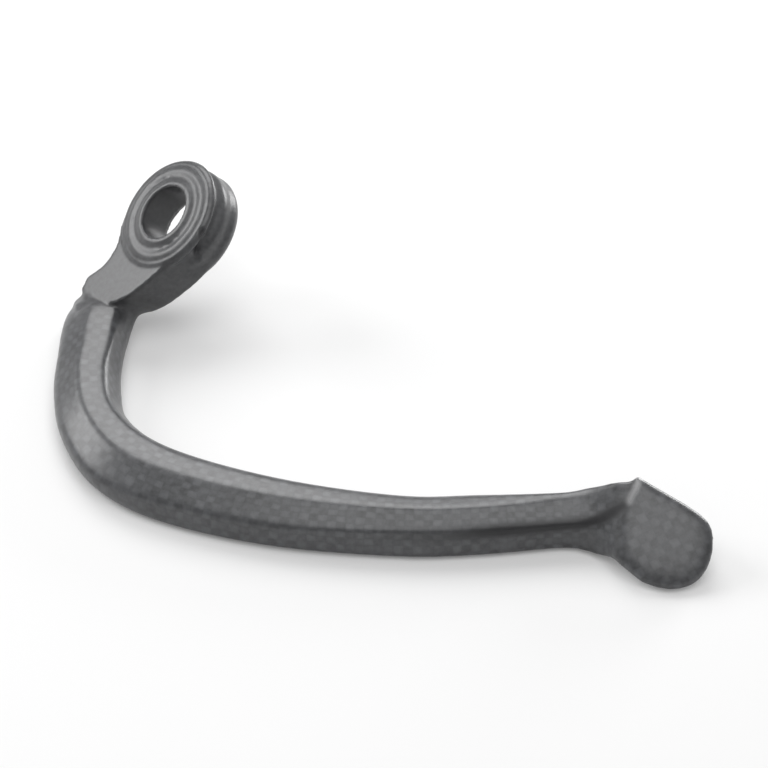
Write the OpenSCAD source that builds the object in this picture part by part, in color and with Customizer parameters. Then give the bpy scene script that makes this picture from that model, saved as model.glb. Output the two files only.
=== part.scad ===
// Brake lever guard, moulded in one piece: a hooked arm of rounded ridged section
// that runs from a thick drilled eye, round a bend and along a straight run, to a leaf-shaped tip.
// Frame: the origin is the middle of the bore, +Z is up, and the arm lies on a level surface
// lay_h below the origin. +X runs along the arm towards the tip, and +Y points back from the run.

/* [Eye] */
// Diameter of the through bore
bore_d = 13; // [11:0.1:14.5]
// Depth of the countersink that widens the bore at the rear cheek
sink_depth = 2.6; // [1.8:0.1:3.4]
// Diameter of the countersink
sink_d = 18; // [16.5:0.1:19.5]
// Outer diameter of both cheeks
eye_d = 28.2; // [26.6:0.1:32]
// Thickness of the eye, from the front lip to the rear cheek
eye_t = 11.6; // [9:0.1:14]
// Width of the raised lip round the bore
lip_w = 1.9; // [1.4:0.1:2.2]
// Depth of the two ring grooves in the front cheek
ring_depth = 0.8; // [0.3:0.1:1.2]
// Depth of the groove that runs round the rim
rim_groove = 1.5; // [0.5:0.1:2]
// Lean of the bore's axis from upright, in degrees
eye_lean = 41; // [30:1:50]
// Heading that the front cheek faces, in degrees from +X
eye_turn = 204; // [190:1:215]
// Height of the bore's middle above the surface that the arm lies on
lay_h = 23; // [21:0.5:26]

/* [Neck] */
// Heading of the neck within the eye's plane, in degrees from its steepest way down
neck_swing = 16; // [8:1:22]
// Length of the flat facet in front of the neck, from the bore's axis to its crisp end
facet_l = 25.5; // [22:0.5:28]
// Width of the neck where it leaves the eye
neck_w = 25.4; // [22:0.2:26]

/* [Arm] */
// Length along X from the bore to the far end of the tip
span = 116.5; // [110:0.5:128]
// Distance along Y from the bore to the middle of the run
reach = 84; // [78:1:92]
// Distance that the bend reaches out past the bore along X
overhang = 20; // [17:1:23]
// Width of the arm in the bend
arm_w = 16; // [14:0.5:18]
// Height of the arm in the bend
arm_h = 11; // [10:0.1:12]

/* [Tip] */
// Length of the leaf-shaped tip along X
leaf_l = 25; // [23:0.5:27]
// Width of the tip, up its tilted face
leaf_w = 25; // [23:0.5:27]
// Full thickness of the tip
leaf_t = 8.5; // [7.5:0.1:9.5]
// Tilt of the tip's face from level, in degrees
leaf_tilt = 34; // [31:0.5:37]

/* [Hidden] */
$fn = 96;

// Overrun of every cutting tool past the face that it opens
over = 1;
// Number of points that round one corner of a section, and of the eye's profile
corner_steps = 4;
profile_steps = 3;
// Number of rings between two neighbouring stations
station_steps = 6;

bore_r = bore_d / 2;
eye_r = eye_d / 2;
front_z = eye_t / 2;
rear_z = -eye_t / 2;

// Vector and curve helpers
function unit(v) = v / norm(v);
function mix(a, b, t) = a + (b - a) * t;
function catmull(a, b, c, d, t) =
    0.5 * (2 * b + (c - a) * t + (2 * a - 5 * b + 4 * c - d) * t * t + (3 * b - a - 3 * c + d) * t * t * t);

// Rounds every corner of a closed outline: each row is [x, y, share of the edges that the round takes]
function corner_point(p, a, b, share, t) =
    let (from = mix(p, a, share), to = mix(p, b, share))
    mix(mix(from, p, t), mix(p, to, t), t);
function rounded(rows, steps) = [
    for (i = [0 : len(rows) - 1])
        let (
            n = len(rows),
            p = [rows[i][0], rows[i][1]],
            a = [rows[(i + n - 1) % n][0], rows[(i + n - 1) % n][1]],
            b = [rows[(i + 1) % n][0], rows[(i + 1) % n][1]]
        )
        for (k = [0 : steps - 1])
            corner_point(p, a, b, rows[i][2], k / (steps - 1))
];

// A solid through a stack of rings of points that all turn the same way
module stack(rings) {
    n = len(rings[0]);
    last = len(rings) - 1;
    points = [for (r = rings) each r];
    faces = [
        for (i = [0 : last - 1])
            for (k = [0 : n - 1])
                each [
                    [i * n + k, (i + 1) * n + k, i * n + (k + 1) % n],
                    [i * n + (k + 1) % n, (i + 1) * n + k, (i + 1) * n + (k + 1) % n]
                ],
        [for (k = [0 : n - 1]) k],
        [for (k = [n - 1 : -1 : 0]) last * n + k]
    ];
    polyhedron(points = points, faces = faces);
}

// The eye stands in its own frame: X down the neck, Y to the inside of the hook, Z along the bore
function eye_turned(p) =
    let (
        s = [p[0] * cos(neck_swing) - p[1] * sin(neck_swing), p[0] * sin(neck_swing) + p[1] * cos(neck_swing), p[2]],
        l = [s[0] * cos(eye_lean) + s[2] * sin(eye_lean), s[1], s[2] * cos(eye_lean) - s[0] * sin(eye_lean)]
    )
    [l[0] * cos(eye_turn) - l[1] * sin(eye_turn), l[0] * sin(eye_turn) + l[1] * cos(eye_turn), l[2]];
eye_axis = eye_turned([0, 0, 1]);

// Half of the eye's section, as radius and height, with the share that each corner is rounded by
rim_round = eye_t * 0.1;
eye_rows = [
    [bore_r - over, rear_z, 0],
    [eye_r - rim_round, rear_z, 0.15],
    [eye_r, rear_z + 0.15 * eye_t, 0.5],
    [eye_r - 0.5 * rim_groove, rear_z + 0.3 * eye_t, 0.5],
    [eye_r, rear_z + 0.5 * eye_t, 0.5],
    [eye_r - 1.4 * rim_groove, front_z - 0.28 * eye_t, 0.4],
    [eye_r + 0.2 * rim_groove, front_z - 0.2 * eye_t, 0.4],
    [eye_r - rim_round, front_z - 0.04 * eye_t, 0.5],
    [eye_r - 1.7 * rim_round, front_z - 1.5 * ring_depth, 0.5],
    [eye_r - 2.8 * rim_round, front_z + 0.3 * ring_depth, 0.5],
    [bore_r + 1.45 * lip_w, front_z - 1.6 * ring_depth, 0.5],
    [bore_r + lip_w, front_z, 0.4],
    [bore_r - over, front_z, 0]
];

module eye_body() {
    rotate([0, eye_lean, eye_turn])
        rotate_extrude()
            polygon(rounded(eye_rows, profile_steps));
}

// Outline of the neck's slab, as shares of its length and of the neck's width: each row is a corner
// of the flat facet, its rounding, and how much further across the rear edge stands
slab_shares = [
    [0.08, -0.52, 0.1, 0],
    [0.32, -0.47, 0.3, 0],
    [0.49, -0.345, 0.5, 0],
    [0.72, -0.35, 0.5, 0],
    [0.88, -0.47, 0.35, -0.03],
    [1.04, -0.45, 0.3, -0.06],
    [1.03, -0.14, 0.4, -0.08],
    [0.93, 0.1, 0.4, -0.05],
    [0.71, 0.25, 0.4, 0.05],
    [0.35, 0.4, 0.3, 0.08],
    [0.08, 0.5, 0.1, 0.04]
];
// Rings of the slab from rear to front: height as a share of the eye's thickness, how much of the
// rear edge's stand it takes, and its size
slab_rings = [
    [-0.44, 1, 0.3],
    [-0.435, 1, 0.65],
    [-0.42, 1, 0.95],
    [-0.36, 1, 1],
    [0.37, 0, 1],
    [0.395, 0, 0.985]
];
slab_middle = [0.5 * facet_l, 0];
function slab_ring(r) =
    let (corners = [for (c = slab_shares) [c[0] * facet_l, (c[1] + c[3] * r[1]) * neck_w, c[2]]])
    [for (p = rounded(corners, corner_steps)) let (q = slab_middle + (p - slab_middle) * r[2]) [q[0], q[1], r[0] * eye_t]];

module neck_slab() {
    rotate([0, eye_lean, eye_turn])
        rotate([0, 0, neck_swing])
            difference() {
                stack([for (r = slab_rings) slab_ring(r)]);
                translate([0, 0, front_z - 2 * ring_depth])
                    cylinder(r = eye_r - 1.2 * rim_round, h = eye_t);
            }
}

// The bore with its countersink
module bore() {
    rotate([0, eye_lean, eye_turn]) {
        cylinder(r = bore_r, h = eye_t + 2 * over, center = true);
        translate([0, 0, rear_z - over])
            cylinder(r = sink_d / 2, h = sink_depth + over);
    }
}

// Sections of the arm as seven corners, in shares of the width and height, with each corner's rounding.
// They go from the inner side over the inner and outer ridges, down the outer side, and back below.
neck_shape = [
    [-0.5, 0.1, 0.3], [-0.42, 0.5, 0.12], [0.1, 0.5, 0.2], [0.5, 0.5, 0.12],
    [0.52, 0, 0.3], [0.5, -0.5, 0.35], [-0.5, -0.5, 0.35]
];
heel_shape = [
    [-0.5, -0.05, 0.35], [-0.33, 0.45, 0.2], [0.07, 0.48, 0.15], [0.46, 0.18, 0.3],
    [0.5, -0.15, 0.3], [0.43, -0.5, 0.4], [-0.45, -0.5, 0.4]
];
bend_shape = [
    [-0.5, -0.12, 0.4], [-0.26, 0.44, 0.2], [0.12, 0.47, 0.15], [0.47, 0.08, 0.3],
    [0.5, -0.15, 0.3], [0.42, -0.5, 0.4], [-0.42, -0.5, 0.4]
];
curve_shape = [
    [-0.5, -0.05, 0.4], [-0.3, 0.41, 0.25], [0.08, 0.46, 0.15], [0.45, 0.15, 0.2],
    [0.48, -0.2, 0.35], [0.47, -0.5, 0.4], [-0.43, -0.5, 0.4]
];
run_shape = [
    [-0.5, -0.05, 0.4], [-0.2, 0.39, 0.2], [0.1, 0.45, 0.15], [0.41, 0.2, 0.1],
    [0.42, -0.1, 0.4], [0.5, -0.48, 0.35], [-0.44, -0.5, 0.4]
];
// Over the last five the outer side fans out from upright to the face of the tip
shank_shapes = [
    [
        [-0.356, -0.045, 0.4], [-0.15, 0.454, 0.2], [-0.012, 0.454, 0.15], [0.33, 0.209, 0.1],
        [0.31, -0.08, 0.4], [0.375, -0.48, 0.35], [-0.294, -0.5, 0.4]
    ],
    [
        [-0.394, 0.045, 0.4], [-0.169, 0.545, 0.2], [-0.012, 0.518, 0.2], [0.315, 0.26, 0.08],
        [0.33, -0.05, 0.4], [0.455, -0.46, 0.35], [-0.25, -0.5, 0.4]
    ],
    [
        [-0.375, 0.136, 0.4], [-0.131, 0.68, 0.2], [0.006, 0.62, 0.3], [0.295, 0.36, 0.08],
        [0.44, 0.02, 0.4], [0.66, -0.38, 0.35], [-0.094, -0.48, 0.4]
    ],
    [
        [-0.312, 0.227, 0.4], [-0.094, 0.83, 0.2], [0.033, 0.73, 0.3], [0.25, 0.54, 0.1],
        [0.62, 0.23, 0.4], [0.935, -0.2, 0.35], [0.156, -0.455, 0.4]
    ],
    [
        [-0.125, 0.318, 0.4], [0.02, 0.82, 0.2], [0.14, 0.75, 0.3], [0.262, 0.61, 0.3],
        [0.62, 0.26, 0.4], [1.04, -0.27, 0.35], [0.406, -0.264, 0.4]
    ]
];

// Stations of the arm, from inside the eye to the tip. Each is a row of X, Y, height of the middle above
// the surface, width, height, and two shares, how far the section leans with the eye and how far it rests
// on the surface, followed by the shape.
function neck_station(along, across, level, width, height) =
    let (p = eye_turned([along * facet_l, across * neck_w, level * eye_t]))
    [[p[0], p[1], p[2] + lay_h, width * neck_w, height * eye_t, 1, 0], neck_shape];
function arm_station(x, y, width, height, shape) =
    [[x, -y * reach, 0.5 * arm_h, width * arm_w, height * arm_h, 0, 1], shape];
function shank_station(x, i) =
    [[x * span, -0.945 * reach, 0.5 * arm_h, arm_w, arm_h, 0, 0], shank_shapes[i]];
stations = [
    neck_station(0.8, -0.22, -0.06, 0.38, 0.62),
    [[-0.89 * overhang, -0.143 * reach, 0.48 * arm_h, 1.07 * arm_w, 0.88 * arm_h, 0.45, 0.5], heel_shape],
    [[-0.97 * overhang, -0.215 * reach, 0.45 * arm_h, 1.01 * arm_w, 0.94 * arm_h, 0.15, 0.95], heel_shape],
    arm_station(-0.995 * overhang, 0.323, 0.96, 0.99, heel_shape),
    arm_station(-0.985 * overhang, 0.446, 0.99, 1, bend_shape),
    arm_station(-0.86 * overhang, 0.595, 1.01, 1, bend_shape),
    arm_station(-0.465 * overhang, 0.735, 1.17, 1, bend_shape),
    arm_station(0.035 * span, 0.834, 1.11, 1, curve_shape),
    arm_station(0.225 * span, 0.92, 1, 1, curve_shape),
    arm_station(0.44 * span, 0.957, 0.96, 1, run_shape),
    arm_station(0.585 * span, 0.953, 0.93, 1, run_shape),
    shank_station(0.734, 0),
    shank_station(0.783, 1),
    shank_station(0.812, 2),
    shank_station(0.844, 3),
    shank_station(0.89, 4)
];

function station_mix(i, t, part) =
    let (
        n = len(stations) - 1,
        a = stations[max(i - 1, 0)][part],
        b = stations[i][part],
        c = stations[min(i + 1, n)][part],
        d = stations[min(i + 2, n)][part]
    )
    catmull(a, b, c, d, t);
rows = [
    for (i = [0 : len(stations) - 2])
        for (k = [0 : station_steps - 1])
            [station_mix(i, k / station_steps, 0), station_mix(i, k / station_steps, 1)],
    stations[len(stations) - 1]
];

function share(v) = min(1, max(0, v));
function row_place(i) = let (r = rows[min(max(i, 0), len(rows) - 1)][0]) [r[0], r[1], r[2]];
function row_heading(i) = unit(row_place(i + 1) - row_place(i - 1));
function ring(i) =
    let (
        r = rows[i][0],
        along = row_heading(i),
        out = unit(cross(along, mix([0, 0, 1], eye_axis, share(r[5])))),
        up = cross(out, along),
        corners = [for (c = rows[i][1]) [c[0] * r[3], c[1] * r[4], c[2]]],
        outline = [for (p = rounded(corners, corner_steps)) out * p[0] + up * p[1]],
        lowest = min([for (p = outline) p[2]]),
        middle = [r[0], r[1], mix(r[2], -lowest, share(r[6])) - lay_h]
    )
    [for (p = outline) middle + p];

module arm_body() {
    stack([for (i = [0 : len(rows) - 1]) ring(i)]);
}

// Outline of the tip, in shares of its length and width, with each corner's rounding. The last edge,
// from the inner end of the crease to its outer end, stands a little above the arm's top.
leaf_shares = [
    [-0.172, 0.512, 0.12],
    [0.468, 0.128, 0.35],
    [0.49, -0.17, 0.45],
    [0.35, -0.448, 0.5],
    [0.04, -0.512, 0.5],
    [-0.34, -0.33, 0.5],
    [-0.42, -0.24, 0.4],
    [-0.38, 0.12, 0.4],
    [-0.28, 0.272, 0.12]
];
// Rings of the tip from its face to its back: size, level as a share of its thickness, and how far
// the ring moves up the face as a share of its width
leaf_rings = [
    [0.12, 0.2, 0], [0.4, 0.195, 0], [0.62, 0.18, 0], [0.8, 0.15, 0], [0.91, 0.11, 0], [0.975, 0.05, 0], [1, -0.03, 0],
    [0.985, -0.12, 0], [0.93, -0.22, 0.02], [0.8, -0.36, 0.08], [0.6, -0.5, 0.16], [0.3, -0.62, 0.2], [0.1, -0.66, 0.21]
];
leaf_middle = [0.91 * span, -1.04 * reach, 0.5 * leaf_w * sin(leaf_tilt) + 0.13 * leaf_t - lay_h];

module leaf() {
    outline = rounded([for (c = leaf_shares) [c[0] * leaf_l, c[1] * leaf_w, c[2]]], corner_steps);
    translate(leaf_middle)
        rotate([leaf_tilt, 0, 0])
            stack([for (r = leaf_rings) [for (p = outline) [p[0] * r[0], p[1] * r[0] + r[2] * leaf_w, r[1] * leaf_t]]]);
}

module guard() {
    color("dimgray")
        difference() {
            union() {
                eye_body();
                neck_slab();
                arm_body();
                leaf();
            }
            bore();
        }
}

guard();
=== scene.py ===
"""Looks of a brake lever guard: one satin woven-composite moulding on a white studio floor."""

import math

import bpy
import numpy as np
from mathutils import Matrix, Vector


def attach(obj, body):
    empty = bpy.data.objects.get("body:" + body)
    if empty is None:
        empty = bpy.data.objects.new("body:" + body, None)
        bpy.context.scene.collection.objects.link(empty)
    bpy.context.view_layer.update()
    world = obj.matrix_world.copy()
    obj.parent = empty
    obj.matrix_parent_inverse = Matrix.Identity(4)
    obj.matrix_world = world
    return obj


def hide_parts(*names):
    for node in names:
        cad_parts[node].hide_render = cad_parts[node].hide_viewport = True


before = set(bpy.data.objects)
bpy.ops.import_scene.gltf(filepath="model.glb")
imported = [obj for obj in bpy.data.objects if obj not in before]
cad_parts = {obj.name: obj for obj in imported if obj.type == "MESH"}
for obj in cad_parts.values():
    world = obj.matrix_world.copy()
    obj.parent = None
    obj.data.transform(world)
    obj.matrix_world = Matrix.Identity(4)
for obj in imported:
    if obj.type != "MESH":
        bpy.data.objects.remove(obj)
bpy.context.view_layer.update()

bl_info = {
    "name": "Brake lever guard",
    "version": (1, 0, 0),
    "blender": (4, 5, 0),
    "location": "View3D > Sidebar > Lever guard",
    "description": "Gives the lever guard its woven composite skin and a studio floor",
    "category": "Object",
}

# One millimetre, in Blender's metres
MM = 0.001

# Middle of the arm from the neck to the tip, in mm from the bore's middle
ARM_LINE = (
    (-8.0, -1.0, -9.0), (-14.0, -6.5, -14.4), (-17.8, -12.0, -17.7), (-19.4, -18.1, -18.0),
    (-19.9, -27.1, -17.5), (-19.7, -37.5, -17.5), (-17.2, -50.0, -17.5), (-9.3, -61.7, -17.5),
    (4.1, -70.1, -17.5), (26.2, -77.3, -17.5), (51.3, -80.4, -17.5), (68.2, -80.0, -17.5),
    (85.5, -79.4, -17.5), (91.2, -79.4, -17.5), (98.3, -80.5, -17.0), (106.0, -84.0, -16.5),
    (114.0, -88.0, -16.0), (120.0, -91.0, -16.0),
)
# Steps of that line between two of its points, and how many points are matched to it at a time
LINE_STEPS = 60
MATCH_BATCH = 4000
# Middle of the bore and the direction that the front cheek of the eye faces
BORE_MIDDLE = (0.0, 0.0, 0.0)
EYE_AXIS = Vector((-0.59934, -0.26684, 0.75471))
# Middle of the leaf-shaped tip, in metres, and the direction that its face looks
LEAF_MIDDLE = (0.106, -0.0874, -0.0148)
LEAF_AXIS = Vector((0.0, -0.5592, 0.829))

# Finest gap in the solid's loose triangles that is welded shut, in metres
WELD_REACH = 0.000004
# How strongly the arm, the slab with its facet and the rings round the bore are smoothed all over
ARM_SMOOTHING = 0.36
SLAB_SMOOTHING = 0.08
RING_SMOOTHING = 0.75
# Rounds of smoothing all over and in the blends, and how far one round may pull a point
SMOOTHING_ROUNDS = 21
BLEND_ROUNDS = 140
SMOOTHING_STEP = 0.7
# The rings stand this far forward of the bore's middle, between these distances from its axis
RINGS_STAND = 5.0 * MM
RINGS_INSIDE = 8.0 * MM
RINGS_OUTSIDE = 14.4 * MM
# The crease behind the tip, both ends and its reach in mm, and how much of the smoothing it escapes
CREASE = ((99.2, -82.0, -10.6), (101.8, -78.4, -8.1), 3.0)
CREASE_CRISPNESS = 0.85
# Stretches where two forms flow into each other, beside the crease and inside the heel: both ends
# and the reach of each, in mm
BLENDS = (
    ((95.4, -86.8, -15.2), (96.6, -93.4, -19.4), 7.0),
    ((98.4, -77.2, -9.8), (100.4, -77.6, -9.0), 2.4),
    ((-10.4, -15.0, -13.0), (-10.0, -16.0, -18.5), 4.5),
)
# Where the heel and the top of the crease swell out, and where the slot and its pocket sink into
# the eye's wall: both ends of each stretch, its reach and how far it moves, in mm
SWELLS = (
    ((-21.9, -11.4, -15.6), (-22.4, -9.0, -17.4), 3.4, (-1.6, 0.0, 0.0)),
    ((98.6, -77.4, -9.8), (100.6, -77.8, -9.0), 2.8, (0.0, 0.2, 1.1)),
    ((6.2, -11.2, 6.4), (4.7, -12.3, 1.0), 1.1, (-0.2, 0.7, -0.3)),
    ((4.7, -12.5, 0.2), (4.8, -12.6, -0.4), 1.3, (0.0, 0.7, -0.1)),
)

# How far the facet's own piece of weave reaches from the bore's axis, and how strongly it shows
FACET_REACH = 26.2 * MM
FACET_SHOW = 0.15
# Where the tip's own piece of weave starts behind its middle, the slant of that border, and the
# show and turn of the weave there
CREASE_BACK = 8.6 * MM
CREASE_SLANT = 0.36
LEAF_SHOW = 0.9
LEAF_TURN = math.radians(27.0)
# Width over which the weave fades at the border of such a piece
BORDER_FADE = 1.2 * MM
# The section that the weave is laid round: half the arm's width and height, how square it is, and
# the number of angles round it
LAY_HALF = (8.0 * MM, 5.5 * MM)
LAY_SQUARENESS = 3.2
LAY_STEPS = 721

# Rounds that spread the skin's bulge, which is measured in mesh squares, and the bulge from which
# an edge takes its painted highlight or a hollow its painted shade, with the span to its full
# strength
BULGE_ROUNDS = 6
EDGE_HIGHLIGHT_FROM = 0.05
EDGE_HIGHLIGHT_SPAN = 0.12
SHADE_FROM = 0.015
SHADE_SPAN = 0.07
# The crest of the crease, given a painted highlight: both ends and the reach in mm, and how
# strongly
CREST = ((99.9, -82.4, -10.4), (102.3, -78.3, -7.6), 1.3)
CREST_HIGHLIGHT = 4.5
# How far from its axis the bore's wall takes painted shade and a rougher finish, and how much
BORE_REACH = 6.9 * MM
BORE_SHADE = 0.3
# Bands of painted shade, standing in for a dark reflection under the front ridge and on the shank
# and for the shade in the eye's slot: the points of each in mm with a share of the strength, and
# its reach
SHADE_BANDS = (
    (((44.0, -86.6, -16.6, 0.0), (58.0, -86.8, -16.4, 0.3), (68.0, -86.4, -16.0, 0.8),
      (72.4, -85.9, -15.8, 1.0), (81.0, -85.2, -15.6, 1.0), (86.0, -84.8, -15.4, 1.0),
      (90.6, -84.4, -14.8, 1.0)), 2.9),
    (((90.6, -84.4, -14.8, 1.0), (94.0, -84.0, -13.7, 1.0), (96.4, -83.5, -12.4, 1.0),
      (98.6, -82.8, -11.2, 0.8)), 2.3),
    (((6.2, -11.0, 6.6, 1.0), (5.4, -11.9, 4.6, 1.0), (4.6, -12.0, 1.4, 1.0)), 1.1),
)
# How strongly the bands and the bore take the hollows' painted shade
SHADE_STRENGTH = 2.6

# How full a tow's crown is in the finish, and the height of it that stays level in the mesh
CROWN_POWER = 0.4
CROWN_LEVEL = 0.4
# Scale of the fibres' noise along and across their tow, and its detail
FIBRE_ALONG = 0.9
FIBRE_ACROSS = 14.0
FIBRE_DETAIL = 2.0
# Scale and detail of the noise that pulls the cloth about, and how far, in metres
WANDER_SCALE = 160.0
WANDER_DETAIL = 2.0
WANDER_PULL = (0.0016, 0.0016, 0.0)
# Noises of the handled surface: the scale and detail of each
HANDLED_NOISES = (("Cloud", 90.0, 3.0), ("Mottle", 900.0, 4.0), ("Grain", 2600.0, 2.0))
# What each pattern adds to the share of the light tow's colour, and where the weave's squares and
# the clouds start
LIGHT_SHARES = {"On top": 0.26, "Tint": 0.28, "Fibre": 0.25, "Cloud": 0.6, "Mottle": 0.75}
SQUARES_START = -0.12
CLOUDS_START = -0.46
# How far the painted highlights on edges and the painted shade go to their own colours, and the
# shade's colour
EDGE_HIGHLIGHT_COLOURING = 0.2
SHADE_COLOURING = 0.5
SHADE_COLOUR = (0.018, 0.018, 0.02, 1.0)
# What each pattern adds to the roughness, and what comes off it first
ROUGH_SHARES = {"Cloud": 0.12, "Mottle": 0.14, "Weave": -0.08, "Highlighted": -0.03, "Shade": 0.2}
ROUGH_START = 0.13
# What each pattern adds to the fine relief, and how strongly that shows
RELIEF_SHARES = {"Crown": 0.4, "Fibre": 0.35, "Grain": 0.5}
RELIEF_STRENGTH = 0.5
# The lacquer's gloss
SPECULAR_LEVEL = 0.5
COAT_WEIGHT = 0.5
COAT_ROUGHNESS = 0.36

# Half the floor's width in metres, its colour, and its glow where it is seen directly
FLOOR_HALF = 3.0
FLOOR_COLOUR = (0.76, 0.76, 0.76, 1.0)
FLOOR_GLOW = 0.14
# How bright the sky is, and what it gains where it is seen directly
SKY_LEVEL = 0.42
SKY_GAIN = 0.58
# What the lamps point at, and the place and width of each, in metres
LAMPS_AIM = Vector((0.045, -0.045, -0.01))
LAMPS = (
    ("key", (-0.7, 0.25, 0.43), 0.48),
    ("rim", (0.52, 0.56, 0.14), 0.35),
    ("back", (-0.05, 0.53, 0.6), 0.6),
    ("top", (0.12, -0.3, 0.92), 0.9),
)
# Width of the camera's sensor, in millimetres
SENSOR_WIDTH = 36.0


# Node helpers


def node(tree, kind, at=(0, 0), **settings):
    """Adds a node and sets its properties."""
    made = tree.nodes.new(kind)
    made.location = at
    for name, value in settings.items():
        setattr(made, name, value)
    return made


def feed(tree, value, socket):
    """Links a socket to an input, or sets the input to a plain value."""
    if isinstance(value, bpy.types.NodeSocket):
        tree.links.new(value, socket)
    else:
        socket.default_value = value


def maths(tree, operation, a, b=None, c=None, clamp=False):
    """A Math node; its inputs may be sockets or numbers."""
    made = node(tree, "ShaderNodeMath", operation=operation, use_clamp=clamp)
    for value, socket in zip((a, b, c), made.inputs):
        if value is not None:
            feed(tree, value, socket)
    return made.outputs[0]


def add_shares(tree, total, terms):
    """Adds each term's socket, times its share, to the total."""
    for socket, share in terms:
        total = maths(tree, "MULTIPLY_ADD", socket, share, total)
    return total


def blend_colours(tree, share, low, high):
    """A colour that goes from low to high as share goes from 0 to 1."""
    made = node(tree, "ShaderNodeMix", data_type="RGBA")
    feed(tree, share, made.inputs["Factor"])
    # The node has sockets for each kind of data: 6 and 7 take the colours, and 2 gives theirs
    feed(tree, low, made.inputs[6])
    feed(tree, high, made.inputs[7])
    return made.outputs[2]


def bow_over(tree, squares):
    """The bow of a tow over each square: 1 in the square's middle, 0 at its edges."""
    middle = maths(tree, "SUBTRACT", maths(tree, "FRACT", squares), 0.5)
    return maths(tree, "COSINE", maths(tree, "MULTIPLY", middle, math.pi))


def seen_directly(tree):
    """1 where the camera looks straight at a surface, or through a clear one."""
    rays = node(tree, "ShaderNodeLightPath").outputs
    return maths(tree, "MAXIMUM", rays["Is Camera Ray"], rays["Is Transmission Ray"])


def new_group(name, inputs, outputs):
    """A shader node group with named float or vector sockets."""
    group = bpy.data.node_groups.new(name, "ShaderNodeTree")
    for label, kind, default in inputs:
        socket = group.interface.new_socket(name=label, in_out="INPUT", socket_type=kind)
        if default is not None:
            socket.default_value = default
    for label in outputs:
        group.interface.new_socket(name=label, in_out="OUTPUT", socket_type="NodeSocketFloat")
    entry = node(group, "NodeGroupInput", (-900, 0))
    leave = node(group, "NodeGroupOutput", (900, 0))
    return group, entry.outputs, leave.inputs


# Shader groups and the guard's finish


def plain_weave_group():
    """Squares of a plain weave: which tow is on top, how high it stands, its fibres and tint."""
    group, given, out = new_group(
        "Plain weave",
        [("Place", "NodeSocketVector", None), ("Square", "NodeSocketFloat", 0.002)],
        ["On top", "Crown", "Fibre", "Tint"],
    )
    scaled = node(group, "ShaderNodeVectorMath", operation="DIVIDE")
    feed(group, given["Place"], scaled.inputs[0])
    square = node(group, "ShaderNodeCombineXYZ")
    for socket in square.inputs:
        feed(group, given["Square"], socket)
    feed(group, square.outputs[0], scaled.inputs[1])
    parts = node(group, "ShaderNodeSeparateXYZ")
    feed(group, scaled.outputs[0], parts.inputs[0])
    along, across = parts.outputs[0], parts.outputs[1]
    column, row = maths(group, "FLOOR", along), maths(group, "FLOOR", across)
    on_top = maths(group, "FLOORED_MODULO", maths(group, "ADD", column, row), 2.0)
    dome = maths(group, "MULTIPLY", bow_over(group, along), bow_over(group, across))
    crown = maths(group, "POWER", dome, CROWN_POWER)
    # Fibres run along the tow that is on top, so the noise is stretched that way
    turned = node(group, "ShaderNodeCombineXYZ")
    stretches = ((along, FIBRE_ALONG, FIBRE_ACROSS), (across, FIBRE_ACROSS, FIBRE_ALONG))
    for index, (coordinate, first, second) in enumerate(stretches):
        stretch = maths(group, "MULTIPLY_ADD", on_top, second - first, first)
        feed(group, maths(group, "MULTIPLY", coordinate, stretch), turned.inputs[index])
    fibre = node(group, "ShaderNodeTexNoise")
    feed(group, turned.outputs[0], fibre.inputs["Vector"])
    fibre.inputs["Scale"].default_value = 1.0
    fibre.inputs["Detail"].default_value = FIBRE_DETAIL
    # Every square has a tint of its own
    cell = node(group, "ShaderNodeCombineXYZ")
    feed(group, column, cell.inputs[0])
    feed(group, row, cell.inputs[1])
    tint = node(group, "ShaderNodeTexWhiteNoise", noise_dimensions="3D")
    feed(group, cell.outputs[0], tint.inputs["Vector"])
    feed(group, on_top, out["On top"])
    feed(group, crown, out["Crown"])
    feed(group, fibre.outputs["Fac"], out["Fibre"])
    feed(group, tint.outputs["Value"], out["Tint"])
    return group


def handled_surface_group():
    """Slight unevenness of a handled moulding: broad clouds, fine mottling and a finer grain."""
    group, given, out = new_group(
        "Handled surface",
        [("Place", "NodeSocketVector", None)],
        [name for name, _, _ in HANDLED_NOISES],
    )
    for name, scale, detail in HANDLED_NOISES:
        noise = node(group, "ShaderNodeTexNoise")
        feed(group, given["Place"], noise.inputs["Vector"])
        noise.inputs["Scale"].default_value = scale
        noise.inputs["Detail"].default_value = detail
        feed(group, noise.outputs["Fac"], out[name])
    return group


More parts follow.
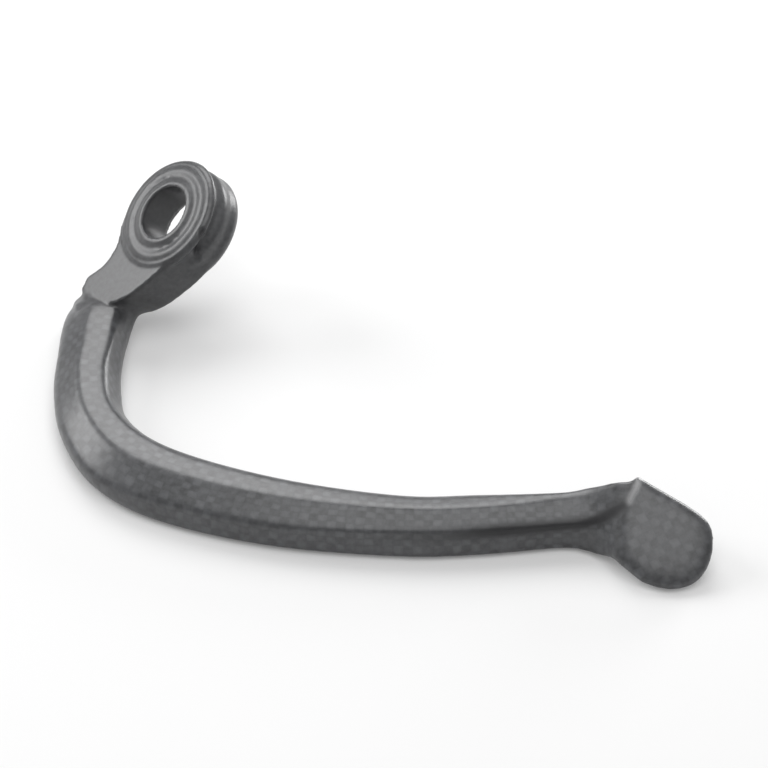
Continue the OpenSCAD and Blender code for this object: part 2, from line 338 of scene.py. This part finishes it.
def woven_composite(settings):
    """Satin charcoal moulding with a low-contrast weave, painted highlights on its edges and
    painted shade in its hollows and bands.
    """
    material = bpy.data.materials.new("woven_composite")
    material.use_nodes = True
    tree = material.node_tree
    tree.nodes.clear()
    shader = node(tree, "ShaderNodeBsdfPrincipled", (600, 0))
    result = node(tree, "ShaderNodeOutputMaterial", (900, 0))
    feed(tree, shader.outputs[0], result.inputs["Surface"])

    lie = node(tree, "ShaderNodeUVMap", (-1200, 200), uv_map="weave")
    weave = node(tree, "ShaderNodeGroup", (-900, 200))
    weave.node_tree = plain_weave_group()
    # Hand-laid cloth is never quite straight, so a broad noise pulls the squares about a little
    wander = node(tree, "ShaderNodeTexNoise", (-1200, 400))
    feed(tree, lie.outputs[0], wander.inputs["Vector"])
    wander.inputs["Scale"].default_value = WANDER_SCALE
    wander.inputs["Detail"].default_value = WANDER_DETAIL
    pulled = node(tree, "ShaderNodeVectorMath", (-1000, 400), operation="MULTIPLY_ADD")
    feed(tree, wander.outputs["Color"], pulled.inputs[0])
    pulled.inputs[1].default_value = WANDER_PULL
    feed(tree, lie.outputs[0], pulled.inputs[2])
    feed(tree, pulled.outputs[0], weave.inputs["Place"])
    weave.inputs["Square"].default_value = settings.weave_square
    place = node(tree, "ShaderNodeTexCoord", (-1200, -200))
    skin = node(tree, "ShaderNodeGroup", (-900, -200))
    skin.node_tree = handled_surface_group()
    feed(tree, place.outputs["Object"], skin.inputs["Place"])
    on_top, crown, fibre, tint = weave.outputs
    cloud, mottle, grain = skin.outputs
    seen, rubbed, hollow = (
        node(tree, "ShaderNodeAttribute", (-1200, at), attribute_name=name).outputs["Fac"]
        for name, at in (("weave_seen", 0), ("rubbed", -400), ("hollow", -600))
    )

    # How light the finish is here: squares, their tint and fibres where the weave shows, and clouds
    share = LIGHT_SHARES
    squares = add_shares(tree, SQUARES_START, ((on_top, share["On top"]), (tint, share["Tint"])))
    squares = maths(tree, "MULTIPLY", squares, crown)
    squares = add_shares(tree, squares, ((fibre, share["Fibre"]),))
    shown = maths(tree, "MULTIPLY", squares, seen)
    clouds = add_shares(tree, CLOUDS_START, ((cloud, share["Cloud"]), (mottle, share["Mottle"])))
    light = maths(tree, "ADD", shown, clouds, clamp=True)
    colour = blend_colours(tree, light, (*settings.dark_tow, 1.0), (*settings.light_tow, 1.0))
    # Painted highlight: convex edges and the crease's crest go lighter, towards their own colour
    highlight_share = maths(tree, "MULTIPLY", rubbed, EDGE_HIGHLIGHT_COLOURING, clamp=True)
    colour = blend_colours(tree, highlight_share, colour, (*settings.edge_highlight_colour, 1.0))
    # Painted shade: hollows, the bore's wall and the bands go darker, towards near black
    shade_share = maths(tree, "MULTIPLY", hollow, SHADE_COLOURING, clamp=True)
    colour = blend_colours(tree, shade_share, colour, SHADE_COLOUR)
    feed(tree, colour, shader.inputs["Base Color"])

    share = ROUGH_SHARES
    rough = add_shares(tree, settings.roughness - ROUGH_START, (
        (cloud, share["Cloud"]), (mottle, share["Mottle"]), (shown, share["Weave"]),
        (rubbed, share["Highlighted"]),
    ))
    rough = maths(tree, "MULTIPLY_ADD", hollow, share["Shade"], rough, clamp=True)
    feed(tree, rough, shader.inputs["Roughness"])

    share = RELIEF_SHARES
    relief = maths(tree, "MULTIPLY", maths(tree, "MULTIPLY", crown, share["Crown"]), seen)
    fibres = maths(tree, "MULTIPLY", fibre, seen)
    relief = add_shares(tree, relief, ((fibres, share["Fibre"]), (grain, share["Grain"])))
    bump = node(tree, "ShaderNodeBump", (300, -300))
    bump.inputs["Strength"].default_value = RELIEF_STRENGTH
    bump.inputs["Distance"].default_value = settings.weave_relief
    feed(tree, relief, bump.inputs["Height"])
    feed(tree, bump.outputs[0], shader.inputs["Normal"])
    shader.inputs["Specular IOR Level"].default_value = SPECULAR_LEVEL
    shader.inputs["Coat Weight"].default_value = COAT_WEIGHT
    shader.inputs["Coat Roughness"].default_value = COAT_ROUGHNESS
    return material


# The moulding's mesh


def evaluated_mesh(obj):
    """The object's mesh with its modifiers applied, as new data."""
    bpy.context.view_layer.update()
    graph = bpy.context.evaluated_depsgraph_get()
    shown = obj.evaluated_get(graph)
    return bpy.data.meshes.new_from_object(shown, preserve_all_data_layers=True, depsgraph=graph)


def make_even(obj, voxel):
    """Welds the solid's loose triangles and remakes them as even squares."""
    weld = obj.modifiers.new("Weld", "WELD")
    weld.merge_threshold = WELD_REACH
    remesh = obj.modifiers.new("Even squares", "REMESH")
    remesh.mode = "VOXEL"
    remesh.voxel_size = voxel
    even = evaluated_mesh(obj)
    obj.modifiers.clear()
    obj.data = even
    return even


def array_of(items, key):
    """A vector of each item, such as the place of each vertex, as an array."""
    data = np.zeros(len(items) * 3)
    items.foreach_get(key, data)
    return data.reshape(-1, 3)


def neighbours(mesh):
    """The mesh's edges as pairs of vertices, and how many neighbours each vertex has."""
    edges = np.zeros(len(mesh.edges) * 2, np.int64)
    mesh.edges.foreach_get("vertices", edges)
    edges = edges.reshape(-1, 2)
    return edges, np.bincount(edges.ravel(), minlength=len(mesh.vertices))


def around_mean(values, edges, count):
    """The mean of every point's neighbours."""
    total = np.zeros_like(values)
    for column in range(values.shape[1]):
        for near, far in ((0, 1), (1, 0)):
            theirs = values[edges[:, far], column]
            total[:, column] += np.bincount(edges[:, near], theirs, len(values))
    return total / count[:, None]


def soften(values, edges, count, rounds):
    """Spreads a per-vertex value over its neighbours."""
    for _ in range(rounds):
        values = 0.5 * (values + around_mean(values[:, None], edges, count)[:, 0])
    return values


def share_along(points, start, end):
    """How far along the line from start to end the points lie, from 0 to 1."""
    start, end = np.array(start) * MM, np.array(end) * MM
    return np.clip((points - start) @ (end - start) / ((end - start) @ (end - start)), 0.0, 1.0)


def nearness(points, start, end, reach):
    """How near the points are to a stretch: 1 on it, 0 beyond its reach."""
    share = share_along(points, start, end)[:, None]
    nearest = ((1.0 - share) * np.array(start) + share * np.array(end)) * MM
    near = np.clip(1.0 - np.linalg.norm(points - nearest, axis=1) / (reach * MM), 0.0, 1.0)
    return near * near * (3.0 - 2.0 * near)


def flat_place(points, centre, axis):
    """Where the points lie on a flat piece that faces along the axis, and how far off it."""
    second = (Vector((0.0, 0.0, 1.0)) - axis * axis.z).normalized()
    first = second.cross(axis)
    local = points - np.array(centre)
    own = np.stack((local @ np.array(first), local @ np.array(second)), 1)
    return own, local @ np.array(axis)


def eye_place(points):
    """Where the points lie on the eye's face, how far from the bore's axis and how far forward."""
    own, stand = flat_place(points, BORE_MIDDLE, EYE_AXIS)
    return own, np.hypot(own[:, 0], own[:, 1]), stand


def smooth_forms(points, edges, count):
    """Rounds off the solid's flats: gently all over, more where two forms flow together."""
    _, from_bore, stand = eye_place(points)
    pull = np.where(from_bore < FACET_REACH, SLAB_SMOOTHING, ARM_SMOOTHING)
    rings = (stand > RINGS_STAND) & (from_bore > RINGS_INSIDE) & (from_bore < RINGS_OUTSIDE)
    pull = np.where(rings, RING_SMOOTHING, pull)
    crisp = 1.0 - CREASE_CRISPNESS * nearness(points, *CREASE)
    pull = (pull * crisp)[:, None]
    for _ in range(SMOOTHING_ROUNDS):
        points = points + pull * SMOOTHING_STEP * (around_mean(points, edges, count) - points)

    for start, end, reach, by in SWELLS:
        points = points + nearness(points, start, end, reach)[:, None] * np.array(by) * MM

    blend = np.zeros(len(points))
    for start, end, reach in BLENDS:
        blend = np.maximum(blend, nearness(points, start, end, reach))
    blend *= crisp
    # Only the vertices in and beside a blend take part in its many rounds
    used, few = np.unique(edges[(blend[edges] > 0).any(axis=1)], return_inverse=True)
    few = few.reshape(-1, 2)
    some, share = points[used], SMOOTHING_STEP * blend[used][:, None]
    few_count = np.bincount(few.ravel(), minlength=len(used))
    for _ in range(BLEND_ROUNDS):
        some = some + share * (around_mean(some, few, few_count) - some)
    points[used] = some
    return points


# The weave's lay, and the painted highlights and shade


def smooth_line(points, steps):
    """Catmull-Rom line through the points, as an array."""
    p = np.array(points, float)
    p = np.vstack((2 * p[0] - p[1], p, 2 * p[-1] - p[-2]))
    t = np.linspace(0, 1, steps, endpoint=False)[:, None]
    spans = []
    for a, b, c, d in zip(p, p[1:], p[2:], p[3:]):
        bend = 2 * a - 5 * b + 4 * c - d
        twist = 3 * b - a - 3 * c + d
        spans.append(0.5 * (2 * b + (c - a) * t + bend * t**2 + twist * t**3))
    return np.vstack(spans + [p[-2][None]])


def lay_round_arm():
    """Angles round the arm's middle, and how far round its section each of them lies."""
    angle = np.linspace(-math.pi, math.pi, LAY_STEPS)
    half_width, half_height = LAY_HALF
    size = (np.abs(np.cos(angle) / half_width) ** LAY_SQUARENESS
            + np.abs(np.sin(angle) / half_height) ** LAY_SQUARENESS)
    size **= -1.0 / LAY_SQUARENESS
    outline = np.stack((size * np.cos(angle), size * np.sin(angle)), 1)
    steps = np.linalg.norm(np.diff(outline, axis=0), axis=1)
    return angle, np.concatenate(([0.0], np.cumsum(steps)))


def lay_flat(place, seen, own, within, show):
    """Lays points inside a border on their own piece of weave, which fades at the border."""
    place = np.where((within > 0)[:, None], own, place)
    seen = seen * np.clip(np.abs(within) / BORDER_FADE, 0.0, 1.0)
    return place, np.where(within > 0, seen * show, seen)


def weave_places(points):
    """Where each point lies on the weave, in metres, and how far the weave shows there."""
    line = smooth_line(ARM_LINE, LINE_STEPS) * MM
    run = np.concatenate(([0.0], np.cumsum(np.linalg.norm(np.diff(line, axis=0), axis=1))))
    nearest = np.concatenate([
        np.argmin(((batch[:, None] - line[None]) ** 2).sum(2), axis=1)
        for batch in np.array_split(points, max(1, len(points) // MATCH_BATCH))
    ])
    ahead = line[np.minimum(nearest + 1, len(line) - 1)] - line[np.maximum(nearest - 1, 0)]
    ahead /= np.linalg.norm(ahead, axis=1)[:, None]
    away = points - line[nearest]
    side = np.cross(ahead, (0.0, 0.0, 1.0))
    side /= np.linalg.norm(side, axis=1)[:, None]
    up = np.cross(side, ahead)
    angle = np.arctan2((away * up).sum(1), (away * side).sum(1))
    along = run[nearest] + (away * ahead).sum(1)
    around = np.interp(angle, *lay_round_arm())
    place = np.stack((along, around), 1)
    seen = np.ones(len(points))

    # The eye and its facet take their own flat piece of weave, and so does the leaf-shaped tip
    own, from_bore, _ = eye_place(points)
    place, seen = lay_flat(place, seen, own, FACET_REACH - from_bore, FACET_SHOW)
    own, _ = flat_place(points, LEAF_MIDDLE, LEAF_AXIS)
    past_crease = own[:, 0] + CREASE_BACK - CREASE_SLANT * np.maximum(own[:, 1], 0.0)
    cosine, sine = math.cos(LEAF_TURN), math.sin(LEAF_TURN)
    own = own @ np.array(((cosine, -sine), (sine, cosine)))
    return lay_flat(place, seen, own, past_crease, LEAF_SHOW)


def highlight_and_shade_masks(points, bulge):
    """How much painted highlight and painted shade each point takes, from the skin's bulge and its
    place.
    """
    _, from_bore, _ = eye_place(points)
    painted_dark = np.where(from_bore < BORE_REACH, BORE_SHADE, 0.0)
    for band, reach in SHADE_BANDS:
        for (*start, first), (*end, last) in zip(band, band[1:]):
            strength = first + (last - first) * share_along(points, start, end)
            painted_dark = np.maximum(painted_dark, strength * nearness(points, start, end, reach))
    # Convex edges take a painted highlight; hollows, the bore's wall and the bands take painted
    # shade
    rubbed = np.clip((bulge - EDGE_HIGHLIGHT_FROM) / EDGE_HIGHLIGHT_SPAN, 0, 1)
    hollow = np.clip((-bulge - SHADE_FROM) / SHADE_SPAN, 0, 1)
    return {
        "rubbed": np.maximum(rubbed, CREST_HIGHLIGHT * nearness(points, *CREST)),
        "hollow": hollow + SHADE_STRENGTH * painted_dark,
    }


def store_layers(mesh, masks, place):
    """Keeps the masks on the mesh, and the weave's lay both as a UV map and as an attribute."""
    for name, values in masks.items():
        layer = mesh.attributes.new(name, "FLOAT", "POINT")
        layer.data.foreach_set("value", values.astype(np.float32))
    corners = np.zeros(len(mesh.loops), np.int64)
    mesh.loops.foreach_get("vertex_index", corners)
    layer = mesh.uv_layers.new(name="weave")
    layer.data.foreach_set("uv", place[corners].astype(np.float32).ravel())
    lie = np.column_stack((place, np.zeros(len(place)))).astype(np.float32)
    layer = mesh.attributes.new("weave_lie", "FLOAT_VECTOR", "POINT")
    layer.data.foreach_set("vector", lie.ravel())


def weave_relief_tree():
    """Geometry nodes that raise the crown of every tow of the weave, then give the finish."""
    tree = bpy.data.node_groups.new("Weave relief", "GeometryNodeTree")
    face = tree.interface
    given = {}
    inputs = (
        ("Geometry", "Geometry"), ("Square", "Float"), ("Crown height", "Float"),
        ("Finish", "Material"),
    )
    for label, kind in inputs:
        socket = face.new_socket(name=label, in_out="INPUT", socket_type="NodeSocket" + kind)
        given[label] = socket.identifier
    face.new_socket(name="Geometry", in_out="OUTPUT", socket_type="NodeSocketGeometry")
    entry = node(tree, "NodeGroupInput", (-1000, 0))
    leave = node(tree, "NodeGroupOutput", (1000, 0))
    lie = node(tree, "GeometryNodeInputNamedAttribute", (-1000, -200), data_type="FLOAT_VECTOR")
    lie.inputs["Name"].default_value = "weave_lie"
    parts = node(tree, "ShaderNodeSeparateXYZ", (-800, -200))
    feed(tree, lie.outputs["Attribute"], parts.inputs[0])
    bows = [
        bow_over(tree, maths(tree, "DIVIDE", parts.outputs[axis], entry.outputs["Square"]))
        for axis in (0, 1)
    ]
    seen = node(tree, "GeometryNodeInputNamedAttribute", (-600, -400), data_type="FLOAT")
    seen.inputs["Name"].default_value = "weave_seen"
    crown = maths(tree, "MULTIPLY", maths(tree, "MULTIPLY", *bows), seen.outputs["Attribute"])
    above = maths(tree, "SUBTRACT", crown, CROWN_LEVEL)
    height = maths(tree, "MULTIPLY", above, entry.outputs["Crown height"])
    outward = node(tree, "ShaderNodeVectorMath", (0, -200), operation="SCALE")
    normal = node(tree, "GeometryNodeInputNormal", (-200, -300))
    feed(tree, normal.outputs[0], outward.inputs[0])
    feed(tree, height, outward.inputs["Scale"])
    raised = node(tree, "GeometryNodeSetPosition", (200, 0))
    feed(tree, entry.outputs["Geometry"], raised.inputs["Geometry"])
    feed(tree, outward.outputs[0], raised.inputs["Offset"])
    real = node(tree, "GeometryNodeRealizeInstances", (400, 0))
    feed(tree, raised.outputs[0], real.inputs[0])
    finish = node(tree, "GeometryNodeSetMaterial", (600, 0))
    feed(tree, real.outputs[0], finish.inputs["Geometry"])
    feed(tree, entry.outputs["Finish"], finish.inputs["Material"])
    feed(tree, finish.outputs[0], leave.inputs[0])
    return tree, given


class GuardFinish(bpy.types.PropertyGroup):
    """Sizes and colours of the moulding's skin."""

    voxel: bpy.props.FloatProperty(
        name="Mesh detail",
        description="Size of the skin's mesh squares",
        default=0.0004, subtype="DISTANCE", unit="LENGTH")
    weave_square: bpy.props.FloatProperty(
        name="Weave square",
        description="Width of one square of the weave",
        default=0.002, subtype="DISTANCE", unit="LENGTH")
    weave_relief: bpy.props.FloatProperty(
        name="Weave relief",
        description="How deep a tow's crown looks in the finish",
        default=0.00002, subtype="DISTANCE", unit="LENGTH")
    crown_height: bpy.props.FloatProperty(
        name="Crown height",
        description="How far the middle of a tow stands up in the mesh",
        default=0.000006, subtype="DISTANCE", unit="LENGTH")
    roughness: bpy.props.FloatProperty(
        name="Roughness",
        description="Roughness of the satin lacquer",
        default=0.36, min=0.0, max=1.0, subtype="FACTOR")
    dark_tow: bpy.props.FloatVectorProperty(
        name="Dark tow",
        description="Colour of the tows that turn away from the light",
        default=(0.03, 0.0305, 0.032), subtype="COLOR")
    light_tow: bpy.props.FloatVectorProperty(
        name="Light tow",
        description="Colour of the tows that catch the light",
        default=(0.122, 0.1255, 0.133), subtype="COLOR")
    # Colour of the painted highlight on convex edges and on the crease's crest
    edge_highlight_colour: bpy.props.FloatVectorProperty(
        name="Rubbed edge",
        description="Colour of edges that handling has polished",
        default=(0.3, 0.3, 0.305), subtype="COLOR")


class StudioStage(bpy.types.PropertyGroup):
    """Camera, floor and lamps."""

    camera_place: bpy.props.FloatVectorProperty(
        name="Camera",
        description="Where the camera stands, from the bore",
        default=(0.0475, -0.5426, 0.438), subtype="TRANSLATION", unit="LENGTH")
    camera_pitch: bpy.props.FloatProperty(
        name="Camera pitch",
        description="How far the camera looks down",
        default=math.radians(42.0), subtype="ANGLE", unit="ROTATION")
    lens: bpy.props.FloatProperty(
        name="Lens",
        description="Focal length on a 36 mm sensor, in millimetres",
        default=140.625)
    floor_drop: bpy.props.FloatProperty(
        name="Floor",
        description="Depth of the floor below the bore's middle",
        default=0.023, subtype="DISTANCE", unit="LENGTH")
    key_power: bpy.props.FloatProperty(
        name="Key lamp",
        description="Power of the large lamp at the left",
        default=3.1, unit="POWER")
    rim_power: bpy.props.FloatProperty(
        name="Rim lamp",
        description="Power of the lamp behind the object at the right",
        default=2.3, unit="POWER")
    back_power: bpy.props.FloatProperty(
        name="Back lamp",
        description="Power of the wide lamp above and behind the object",
        default=3.4, unit="POWER")
    top_power: bpy.props.FloatProperty(
        name="Top lamp",
        description="Power of the wide lamp overhead",
        default=3.5, unit="POWER")


class GUARD_OT_skin(bpy.types.Operator):
    """Make the guard's finished moulding from its solid"""

    bl_idname = "lever_guard.skin"
    bl_label = "Guard moulding"

    def execute(self, context):
        settings = context.scene.guard_finish
        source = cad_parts["guard"]
        obj = bpy.data.objects.new("guard_moulding", source.data.copy())
        context.scene.collection.objects.link(obj)
        even = make_even(obj, settings.voxel)

        edges, count = neighbours(even)
        points = smooth_forms(array_of(even.vertices, "co"), edges, count)
        even.vertices.foreach_set("co", points.ravel())
        even.update()

        normals = array_of(even.vertex_normals, "vector")
        bulge = ((points - around_mean(points, edges, count)) * normals).sum(1) / settings.voxel
        bulge = soften(bulge, edges, count, BULGE_ROUNDS)
        place, seen = weave_places(points)
        store_layers(even, {**highlight_and_shade_masks(points, bulge), "weave_seen": seen}, place)
        even.polygons.foreach_set("use_smooth", [True] * len(even.polygons))
        even.materials.clear()

        tree, given = weave_relief_tree()
        relief = obj.modifiers.new("Weave relief", "NODES")
        relief.node_group = tree
        relief[given["Square"]] = settings.weave_square
        relief[given["Crown height"]] = settings.crown_height
        relief[given["Finish"]] = woven_composite(settings)
        raised = evaluated_mesh(obj)
        obj.modifiers.clear()
        obj.data = raised
        if not raised.materials:
            raise RuntimeError("the weave's relief left the guard without its finish")
        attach(obj, "root")
        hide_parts("guard")
        print("guard_moulding:", len(raised.polygons), "faces")
        return {"FINISHED"}


def lay_floor(scene, drop):
    """A white floor that holds the guard's shadow."""
    mesh = bpy.data.meshes.new("floor")
    corners = [
        (x * FLOOR_HALF, y * FLOOR_HALF, -drop)
        for x, y in ((-1, -1), (1, -1), (1, 1), (-1, 1))
    ]
    mesh.from_pydata(corners, [], [(0, 1, 2, 3)])
    floor = bpy.data.objects.new("floor", mesh)
    scene.collection.objects.link(floor)
    paper = bpy.data.materials.new("white_paper")
    paper.use_nodes = True
    tree = paper.node_tree
    tree.nodes.clear()
    diffuse = node(tree, "ShaderNodeBsdfDiffuse")
    diffuse.inputs["Color"].default_value = FLOOR_COLOUR
    glow = node(tree, "ShaderNodeEmission")
    feed(tree, maths(tree, "MULTIPLY", seen_directly(tree), FLOOR_GLOW), glow.inputs["Strength"])
    both = node(tree, "ShaderNodeAddShader")
    feed(tree, diffuse.outputs[0], both.inputs[0])
    feed(tree, glow.outputs[0], both.inputs[1])
    result = node(tree, "ShaderNodeOutputMaterial")
    feed(tree, both.outputs[0], result.inputs["Surface"])
    mesh.materials.append(paper)


def light_studio(scene, settings):
    """An even sky, and the four lamps."""
    world = bpy.data.worlds.new("studio")
    world.use_nodes = True
    scene.world = world
    tree = world.node_tree
    tree.nodes.clear()
    sky = node(tree, "ShaderNodeBackground")
    strength = maths(tree, "MULTIPLY_ADD", seen_directly(tree), SKY_GAIN, SKY_LEVEL)
    feed(tree, strength, sky.inputs["Strength"])
    result = node(tree, "ShaderNodeOutputWorld")
    feed(tree, sky.outputs[0], result.inputs["Surface"])

    for name, place, width in LAMPS:
        light = bpy.data.lights.new(name, "AREA")
        light.shape = "DISK"
        light.size = width
        light.energy = getattr(settings, name + "_power")
        lamp = bpy.data.objects.new(name, light)
        lamp.location = place
        lamp.rotation_euler = (LAMPS_AIM - Vector(place)).to_track_quat("-Z", "Y").to_euler()
        scene.collection.objects.link(lamp)


class GUARD_OT_stage(bpy.types.Operator):
    """Set up the white floor, the lamps and the camera"""

    bl_idname = "lever_guard.stage"
    bl_label = "Studio stage"

    def execute(self, context):
        settings = context.scene.studio_stage
        scene = context.scene
        scene.view_settings.view_transform = "Standard"
        lay_floor(scene, settings.floor_drop)
        light_studio(scene, settings)

        data = bpy.data.cameras.new("camera")
        data.lens = settings.lens
        data.sensor_width = SENSOR_WIDTH
        camera = bpy.data.objects.new("camera", data)
        camera.location = settings.camera_place
        camera.rotation_euler = (math.radians(90.0) - settings.camera_pitch, 0.0, 0.0)
        scene.collection.objects.link(camera)
        scene.camera = camera
        return {"FINISHED"}


class GUARD_PT_panel(bpy.types.Panel):
    """Lists the guard's pieces and the stage"""

    bl_idname = "GUARD_PT_panel"
    bl_label = "Lever guard"
    bl_space_type = "VIEW_3D"
    bl_region_type = "UI"
    bl_category = "Lever guard"

    def draw(self, context):
        scene = context.scene
        rows = ((GUARD_OT_skin, scene.guard_finish), (GUARD_OT_stage, scene.studio_stage))
        for operator, settings in rows:
            box = self.layout.box()
            box.operator(operator.bl_idname)
            for name in settings.__annotations__:
                box.prop(settings, name)


CLASSES = (GuardFinish, StudioStage, GUARD_OT_skin, GUARD_OT_stage, GUARD_PT_panel)


def register():
    for made in CLASSES:
        bpy.utils.register_class(made)
    bpy.types.Scene.guard_finish = bpy.props.PointerProperty(type=GuardFinish)
    bpy.types.Scene.studio_stage = bpy.props.PointerProperty(type=StudioStage)


def unregister():
    del bpy.types.Scene.studio_stage
    del bpy.types.Scene.guard_finish
    for made in reversed(CLASSES):
        bpy.utils.unregister_class(made)


def main():
    register()
    bpy.ops.lever_guard.skin()
    bpy.ops.lever_guard.stage()


if __name__ == "__main__":
    main()
